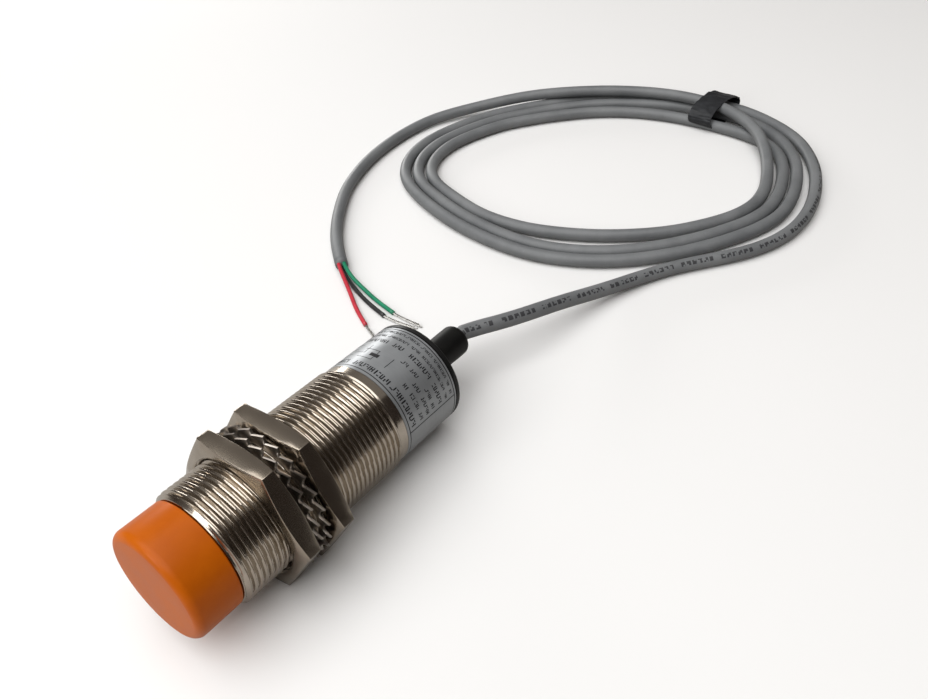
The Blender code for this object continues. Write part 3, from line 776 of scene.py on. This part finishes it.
def platedFinish(name, bright, dull, rough, lines, stain):
    material, t, shader = startMaterial(name)
    place = t.sensorPlace()
    cloudy = useGroup(t, grain, {"Vector": place, "Cloud": 160.0, "Grain": 2600.0})
    turned = useGroup(t, turning, {"Vector": place})
    shade = t.blend(cloudy["Cloud"], bright, dull)
    spots = t.math("MULTIPLY", t.remap(t.noise(place, 260.0, 3.0, 0.55), 0.55, 0.80), stain)
    shade = t.blend(spots, shade, stainColour)
    shade = t.blend(t.math("MULTIPLY", turned["Scratch"], 0.2), shade, tuple(min(1, c * 1.25) for c in bright))
    t.feed(shade, shader.inputs["Base Color"])
    shader.inputs["Metallic"].default_value = 1.0
    value = t.math("ADD", t.remap(cloudy["Cloud"], 0, 1, rough[0], rough[1]), t.math("MULTIPLY", spots, 0.15))
    value = t.math("ADD", value, t.remap(turned["Lines"], 0.3, 0.7, -0.14 * lines, 0.20 * lines), clamp=True)
    t.feed(value, shader.inputs["Roughness"])
    relief = t.math("MULTIPLY", cloudy["Height"], 0.25 * lines)
    height = t.math("ADD", t.math("MULTIPLY", turned["Lines"], lines), relief)
    t.feed(bump(t, height, 0.25, 0.01), shader.inputs["Normal"])
    return material


capLook = {"lit": (0.56, 0.120, 0.001), "deep": (0.48, 0.094, 0.001), "scuff": (0.62, 0.17, 0.01),
           "rough": (0.30, 0.38), "shine": 0.16}


def orangeFinish():
    material, t, shader = startMaterial("orangePlastic")
    place = t.sensorPlace()
    out = useGroup(t, grain, {"Vector": place, "Cloud": 90.0, "Grain": 5200.0})
    shade = t.blend(out["Cloud"], capLook["deep"], capLook["lit"])
    scuff = t.math("MULTIPLY", t.remap(t.noise(place, 900.0, 6.0, 0.75), 0.62, 0.74), 0.18)
    t.feed(t.blend(scuff, shade, capLook["scuff"]), shader.inputs["Base Color"])
    t.feed(t.math("ADD", t.remap(out["Cloud"], 0, 1, *capLook["rough"]), scuff), shader.inputs["Roughness"])
    shader.inputs["Specular IOR Level"].default_value = capLook["shine"]
    shader.inputs["Subsurface Weight"].default_value = 0.05
    shader.inputs["Subsurface Radius"].default_value = (0.002, 0.0008, 0.0002)
    t.feed(bump(t, out["Height"], 0.35, 0.02), shader.inputs["Normal"])
    return material


labelLook = {"deep": (0.305, 0.320, 0.336), "pale": (0.370, 0.387, 0.404), "streak": (0.43, 0.445, 0.460),
             "metallic": 0.6, "rough": (0.34, 0.44)}


def labelFinish():
    material, t, shader = startMaterial("labelFoil")
    place = t.sensorPlace()
    out = useGroup(t, grain, {"Vector": place, "Cloud": 110.0, "Grain": 4200.0})
    brushed = t.add("ShaderNodeMapping", {"Vector": place})
    brushed.inputs["Scale"].default_value = (300, 300, 6500)
    streak = t.noise(brushed.outputs["Vector"], 1.0, 2.0, 0.5)
    shade = t.blend(out["Cloud"], labelLook["deep"], labelLook["pale"])
    shade = t.blend(t.math("MULTIPLY", t.remap(streak, 0.4, 0.8), 0.35), shade, labelLook["streak"])
    t.feed(shade, shader.inputs["Base Color"])
    shader.inputs["Metallic"].default_value = labelLook["metallic"]
    t.feed(t.remap(out["Cloud"], 0, 1, *labelLook["rough"]), shader.inputs["Roughness"])
    t.feed(bump(t, out["Height"], 0.3, 0.01), shader.inputs["Normal"])
    return material


cableLook = {"pale": (0.200, 0.208, 0.214), "deep": (0.140, 0.147, 0.154), "ink": (0.02, 0.02, 0.023),
             "dust": (0.30, 0.31, 0.32), "rough": (0.40, 0.54)}
# side and height are shares of a turn round the jacket, the rest metres along it
printed = {"side": 0.10, "height": 0.062, "cell": 0.0020, "word": 0.0140, "last": 0.235}


def printMarks(t):
    # one row of small uneven blocks, in words, along the side of the lead
    split = t.add("ShaderNodeSeparateXYZ", {"Vector": t.add("ShaderNodeUVMap", uv_map="lengthwise").outputs["UV"]})
    u, v = split.outputs["X"], split.outputs["Y"]
    across = t.math("ABSOLUTE", t.math("SUBTRACT", v, printed["side"]))
    band = t.math("LESS_THAN", across, printed["height"])
    cell = t.math("DIVIDE", u, printed["cell"])
    gap = t.math("LESS_THAN", t.math("FRACT", cell), 0.74)
    word = t.math("LESS_THAN", t.math("FRACT", t.math("DIVIDE", u, printed["word"])), 0.80)
    lead = t.math("LESS_THAN", u, printed["last"])
    place = t.add("ShaderNodeCombineXYZ", {"X": t.math("FLOOR", t.math("MULTIPLY", cell, 3.0)),
                                           "Y": t.math("FLOOR", t.math("DIVIDE", v, printed["height"] * 0.667))})
    block = t.add("ShaderNodeTexWhiteNoise", {"Vector": place.outputs["Vector"]}, noise_dimensions="2D")
    mark = t.math("MULTIPLY", band, t.math("GREATER_THAN", block.outputs["Value"], 0.30))
    for part in (gap, word, lead):
        mark = t.math("MULTIPLY", mark, part)
    return t.math("MULTIPLY", mark, 0.85)


def cableFinish():
    material, t, shader = startMaterial("greyJacket")
    place = t.objectPlace()
    out = useGroup(t, grain, {"Vector": place, "Cloud": 70.0, "Grain": 2600.0})
    shade = t.blend(out["Cloud"], cableLook["deep"], cableLook["pale"])
    dust = t.math("MULTIPLY", t.remap(t.noise(place, 1500.0, 5.0, 0.7), 0.60, 0.75), 0.35)
    shade = t.blend(dust, shade, cableLook["dust"])
    t.feed(t.blend(printMarks(t), shade, cableLook["ink"]), shader.inputs["Base Color"])
    t.feed(t.remap(out["Cloud"], 0, 1, *cableLook["rough"]), shader.inputs["Roughness"])
    t.feed(bump(t, out["Height"], 0.4, 0.03), shader.inputs["Normal"])
    return material


tapeLook = {"deep": (0.010, 0.011, 0.013), "pale": (0.022, 0.024, 0.028), "rough": (0.34, 0.55), "shine": 0.35}


def tapeFinish():
    material, t, shader = startMaterial("blackTape")
    place = t.objectPlace()
    out = useGroup(t, grain, {"Vector": place, "Cloud": 300.0, "Grain": 2200.0})
    stretch = t.noise(place, 800.0, 6.0, 0.7)
    t.feed(t.blend(out["Cloud"], tapeLook["deep"], tapeLook["pale"]), shader.inputs["Base Color"])
    t.feed(t.remap(stretch, 0.3, 0.7, *tapeLook["rough"]), shader.inputs["Roughness"])
    shader.inputs["Specular IOR Level"].default_value = tapeLook["shine"]
    t.feed(bump(t, stretch, 0.6, 0.25), shader.inputs["Normal"])
    return material


# between is painted shade: a dark colour laid in the grooves between the wire turns
windingLook = {"deep": (0.42, 0.14, 0.045), "pale": (0.66, 0.27, 0.10), "between": (0.10, 0.03, 0.01),
               "turns": 900.0, "metallic": 0.8, "rough": (0.25, 0.38)}


def windingFinish():
    material, t, shader = startMaterial("copperWinding")
    place = t.sensorPlace()
    out = useGroup(t, grain, {"Vector": place, "Cloud": 200.0, "Grain": 3000.0})
    wire = t.add("ShaderNodeTexWave", {"Vector": place, "Scale": windingLook["turns"], "Distortion": 0.6,
                                       "Detail": 1.0}, bands_direction="Z", wave_profile="SIN").outputs["Fac"]
    shade = t.blend(out["Cloud"], windingLook["deep"], windingLook["pale"])
    # painted shade: the grooves between wire turns take the dark between colour, on top of the bump that sinks them
    t.feed(t.blend(t.remap(wire, 0.0, 0.35, 0.8, 0.0), shade, windingLook["between"]), shader.inputs["Base Color"])
    shader.inputs["Metallic"].default_value = windingLook["metallic"]
    t.feed(t.remap(out["Cloud"], 0, 1, *windingLook["rough"]), shader.inputs["Roughness"])
    t.feed(bump(t, wire, 0.8, 0.12), shader.inputs["Normal"])
    return material


boardLook = {"deep": (0.010, 0.10, 0.04), "pale": (0.018, 0.15, 0.06), "track": (0.05, 0.26, 0.10),
             "tracks": 420.0, "rough": (0.30, 0.42)}


def boardFinish():
    material, t, shader = startMaterial("boardResist")
    place = t.sensorPlace()
    out = useGroup(t, grain, {"Vector": place, "Cloud": 150.0, "Grain": 4000.0})
    tracks = t.add("ShaderNodeTexBrick", {"Vector": place, "Scale": boardLook["tracks"], "Mortar Size": 0.16,
                                          "Color1": (0, 0, 0, 1), "Color2": (0, 0, 0, 1), "Mortar": (1, 1, 1, 1)})
    track = tracks.outputs["Fac"]
    shade = t.blend(out["Cloud"], boardLook["deep"], boardLook["pale"])
    t.feed(t.blend(t.math("MULTIPLY", track, 0.6), shade, boardLook["track"]), shader.inputs["Base Color"])
    t.feed(t.remap(out["Cloud"], 0, 1, *boardLook["rough"]), shader.inputs["Roughness"])
    t.feed(bump(t, track, 0.5, 0.05), shader.inputs["Normal"])
    return material


insulation = {"cloud": 260.0, "fine": 2600.0, "coat": 0.2}
# colour, its darker shade, roughness, and what differs from the usual
plain = {
    "printInk": ((0.018, 0.018, 0.020), (0.010, 0.010, 0.012), 0.45, {"cloud": 400.0, "shine": 0.2}),
    "blackPlastic": ((0.012, 0.012, 0.012), (0.007, 0.007, 0.007), 0.42, {"cloud": 130.0, "fine": 3600.0,
                     "relief": 0.03, "shine": 0.25}),
    "blackRubber": ((0.009, 0.009, 0.008), (0.005, 0.005, 0.005), 0.46, {"cloud": 160.0, "fine": 2600.0,
                    "relief": 0.04, "shine": 0.18}),
    "redCore": ((0.62, 0.035, 0.06), (0.50, 0.02, 0.04), 0.34, insulation),
    "greenCore": ((0.012, 0.27, 0.14), (0.008, 0.20, 0.10), 0.34, insulation),
    "blackCore": ((0.026, 0.027, 0.029), (0.016, 0.017, 0.018), 0.34, insulation),
    "tinned": ((0.74, 0.73, 0.71), (0.52, 0.51, 0.49), 0.28, {"cloud": 500.0, "fine": 4000.0, "relief": 0.03,
               "metallic": 1.0}),
    "ferrite": ((0.085, 0.08, 0.078), (0.045, 0.043, 0.042), 0.66, {"cloud": 300.0, "fine": 2600.0, "relief": 0.06}),
    "bobbinNylon": ((0.74, 0.70, 0.60), (0.66, 0.61, 0.50), 0.46, {"cloud": 150.0}),
    "chipEpoxy": ((0.022, 0.022, 0.023), (0.014, 0.014, 0.015), 0.52, {"cloud": 500.0, "fine": 5200.0,
                  "relief": 0.05}),
    "trimmerBlue": ((0.03, 0.13, 0.48), (0.02, 0.09, 0.36), 0.34, {"cloud": 300.0}),
    "capacitorResin": ((0.56, 0.36, 0.07), (0.44, 0.26, 0.04), 0.30, {"cloud": 260.0, "fine": 900.0,
                       "relief": 0.08, "coat": 0.3}),
    "capacitorSleeve": ((0.05, 0.06, 0.13), (0.03, 0.035, 0.08), 0.28, {"cloud": 300.0, "coat": 0.3}),
    "castResin": ((0.065, 0.055, 0.048), (0.035, 0.03, 0.026), 0.26, {"cloud": 200.0, "fine": 700.0,
                  "relief": 0.10, "coat": 0.4}),
}
finishes = {"orangePlastic": orangeFinish(), "labelFoil": labelFinish(), "greyJacket": cableFinish(),
            "blackTape": tapeFinish(), "copperWinding": windingFinish(), "boardResist": boardFinish()}
for name, look in plated.items():
    finishes[name] = platedFinish(name, *look)
for name, (colour, dark, roughness, rest) in plain.items():
    finishes[name] = plainFinish(name, colour, dark, roughness, **rest)
print("materials ready", len(finishes))


def putOn(obj, body, finish, slotName, *nodes):
    obj.data.materials.clear()
    obj.data.materials.append(finishes[finish])
    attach(obj, body)
    if nodes:
        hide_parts(*nodes)


putOn(cablePiece, "sensor", "greyJacket", "grey_cable", "cable_lead", "cable_coil", "cable_tail")
for index, colour in enumerate(coreNames):
    putOn(endPieces[index * 2], "sensor", colour + "Core", colour + "_core", "core_" + colour)
    putOn(endPieces[index * 2 + 1], "sensor", "tinned", "tinned_metal", "strands_" + colour)
putOn(capPiece, "sensor", "orangePlastic", "orange_plastic", "sensing_cap")
putOn(barrelPiece, "sensor", "platedBarrel", "nickel_barrel", "barrel")
putOn(frontNut, "front_nut", "platedNut", "nickel_nut", "front_nut")
putOn(rearNut, "rear_nut", "platedNut", "nickel_nut", "rear_nut")
putOn(frontWasher, "front_washer", "springSteel", "spring_steel", "front_washer")
putOn(rearWasher, "rear_washer", "springSteel", "spring_steel", "rear_washer")
putOn(labelFoil, "sensor", "labelFoil", "label_foil", "rating_label")
putOn(labelPrint, "sensor", "printInk", "label_foil")
putOn(endCapPiece, "sensor", "blackPlastic", "black_plastic", "end_cap")
putOn(glandPiece, "sensor", "blackRubber", "black_rubber", "cable_gland")
putOn(tapePiece, "sensor", "blackTape", "black_tape", "tape_tie")

carried = {
    "blackRubber": ["cap_seal_ring"], "ferrite": ["ferrite_core"], "bobbinNylon": ["coil_bobbin"],
    "copperWinding": ["coil_winding"], "blackPlastic": ["core_holder"], "boardResist": ["circuit_board"],
    "chipEpoxy": ["oscillator_chip", "output_transistor"], "trimmerBlue": ["trim_resistor"],
    "capacitorResin": ["film_capacitor_1", "film_capacitor_2"], "capacitorSleeve": ["supply_capacitor"],
    "tinned": ["lead_terminal_1", "lead_terminal_2", "lead_terminal_3", "cable_clamp"],
    "castResin": ["resin_plug"], "greyJacket": ["cable_inner"], "redCore": ["inner_core_red"],
    "greenCore": ["inner_core_green"], "blackCore": ["inner_core_black"],
}
for finish, nodes in carried.items():
    for node in nodes:
        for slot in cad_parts[node].material_slots:
            slot.material = finishes[finish]

print("pieces placed")

studio = {"floor": (0.90, 0.90, 0.90), "thrown": (0.50, 0.49, 0.475), "wall": (0.82, 0.82, 0.82), "size": 4.0,
          "cloud": 0.985, "rough": 0.75, "shine": 0.2, "horizon": (0.15, 0.75),
          "low": (0.060, 0.047, 0.040), "high": (0.26, 0.245, 0.23),
          # place, aim, width, height, power, tint
          "lights": [((-0.28, 0.10, 0.90), (0.06, 0.02, 0.0), 1.25, 1.25, 11.8, (1.0, 0.997, 0.99)),
                     ((0.50, 0.85, 0.18), (0.0, 0.0, 0.02), 0.50, 0.20, 2.6, (1.0, 0.99, 0.97)),
                     ((-0.75, 0.20, 0.35), (-0.02, 0.0, 0.02), 0.30, 0.30, 1.5, (1.0, 0.99, 0.97))],
          # a dark flag beside the sensor that only shows in gloss: lowest and highest x, its y, its top
          "flag": (-0.12, 0.45, -0.17, 0.24), "flagShade": (0.030, 0.022, 0.018), "flagRough": 0.9}


def addFloor():
    deselectAll()
    bpy.ops.mesh.primitive_plane_add(size=studio["size"], location=(0, 0, 0))
    obj = named("table")
    material, t, shader = startMaterial("paleTable")
    cloud = t.noise(t.objectPlace(), 6.0, 3.0, 0.5)
    pale = studio["floor"]
    seen = t.blend(cloud, tuple(c * studio["cloud"] for c in pale), pale)
    direct = t.add("ShaderNodeLightPath").outputs["Is Camera Ray"]      # the table throws back less than it shows
    t.feed(t.blend(direct, studio["thrown"], seen), shader.inputs["Base Color"])
    shader.inputs["Roughness"].default_value = studio["rough"]
    shader.inputs["Specular IOR Level"].default_value = studio["shine"]
    obj.data.materials.append(material)


def addFlag():
    low, high, side, top = studio["flag"]
    deselectAll()
    bpy.ops.mesh.primitive_plane_add(size=1, location=((low + high) / 2, side, top / 2), rotation=(pi / 2, 0, 0))
    obj = named("flag")
    bpy.ops.transform.resize(value=(high - low, 1, top))
    material, t, shader = startMaterial("flagCloth")
    cloud = t.noise(t.objectPlace(), 12.0, 3.0, 0.5)
    shade = studio["flagShade"]
    t.feed(t.blend(cloud, tuple(c * 0.8 for c in shade), shade), shader.inputs["Base Color"])
    shader.inputs["Roughness"].default_value = studio["flagRough"]
    obj.data.materials.append(material)
    obj.visible_camera = False
    obj.visible_diffuse = False
    obj.visible_shadow = False


def addLights():
    world = bpy.data.worlds.new("room")
    bpy.context.scene.world = world
    world.use_nodes = True
    t = Tree(world.node_tree)
    back = world.node_tree.nodes["Background"]
    direction = t.add("ShaderNodeTexCoord").outputs["Generated"]
    height = t.add("ShaderNodeSeparateXYZ", {"Vector": direction}).outputs["Z"]
    room = t.blend(t.remap(height, *studio["horizon"]), studio["low"], studio["high"])
    direct = t.add("ShaderNodeLightPath").outputs["Is Camera Ray"]
    t.feed(t.blend(direct, room, studio["wall"]), back.inputs["Color"])
    for index, (spot, aim, width, tall, power, tint) in enumerate(studio["lights"]):
        data = bpy.data.lights.new(f"softbox{index + 1}", "AREA")
        data.shape = "RECTANGLE"
        data.size, data.size_y = width, tall
        data.energy = power
        data.color = tint
        obj = bpy.data.objects.new(data.name, data)
        obj.location = spot
        obj.rotation_euler = (Vector(aim) - Vector(spot)).to_track_quat("-Z", "Y").to_euler()
        bpy.context.scene.collection.objects.link(obj)


addFloor()
addFlag()
addLights()
bpy.context.scene.view_settings.view_transform = "Standard"
print("studio ready")
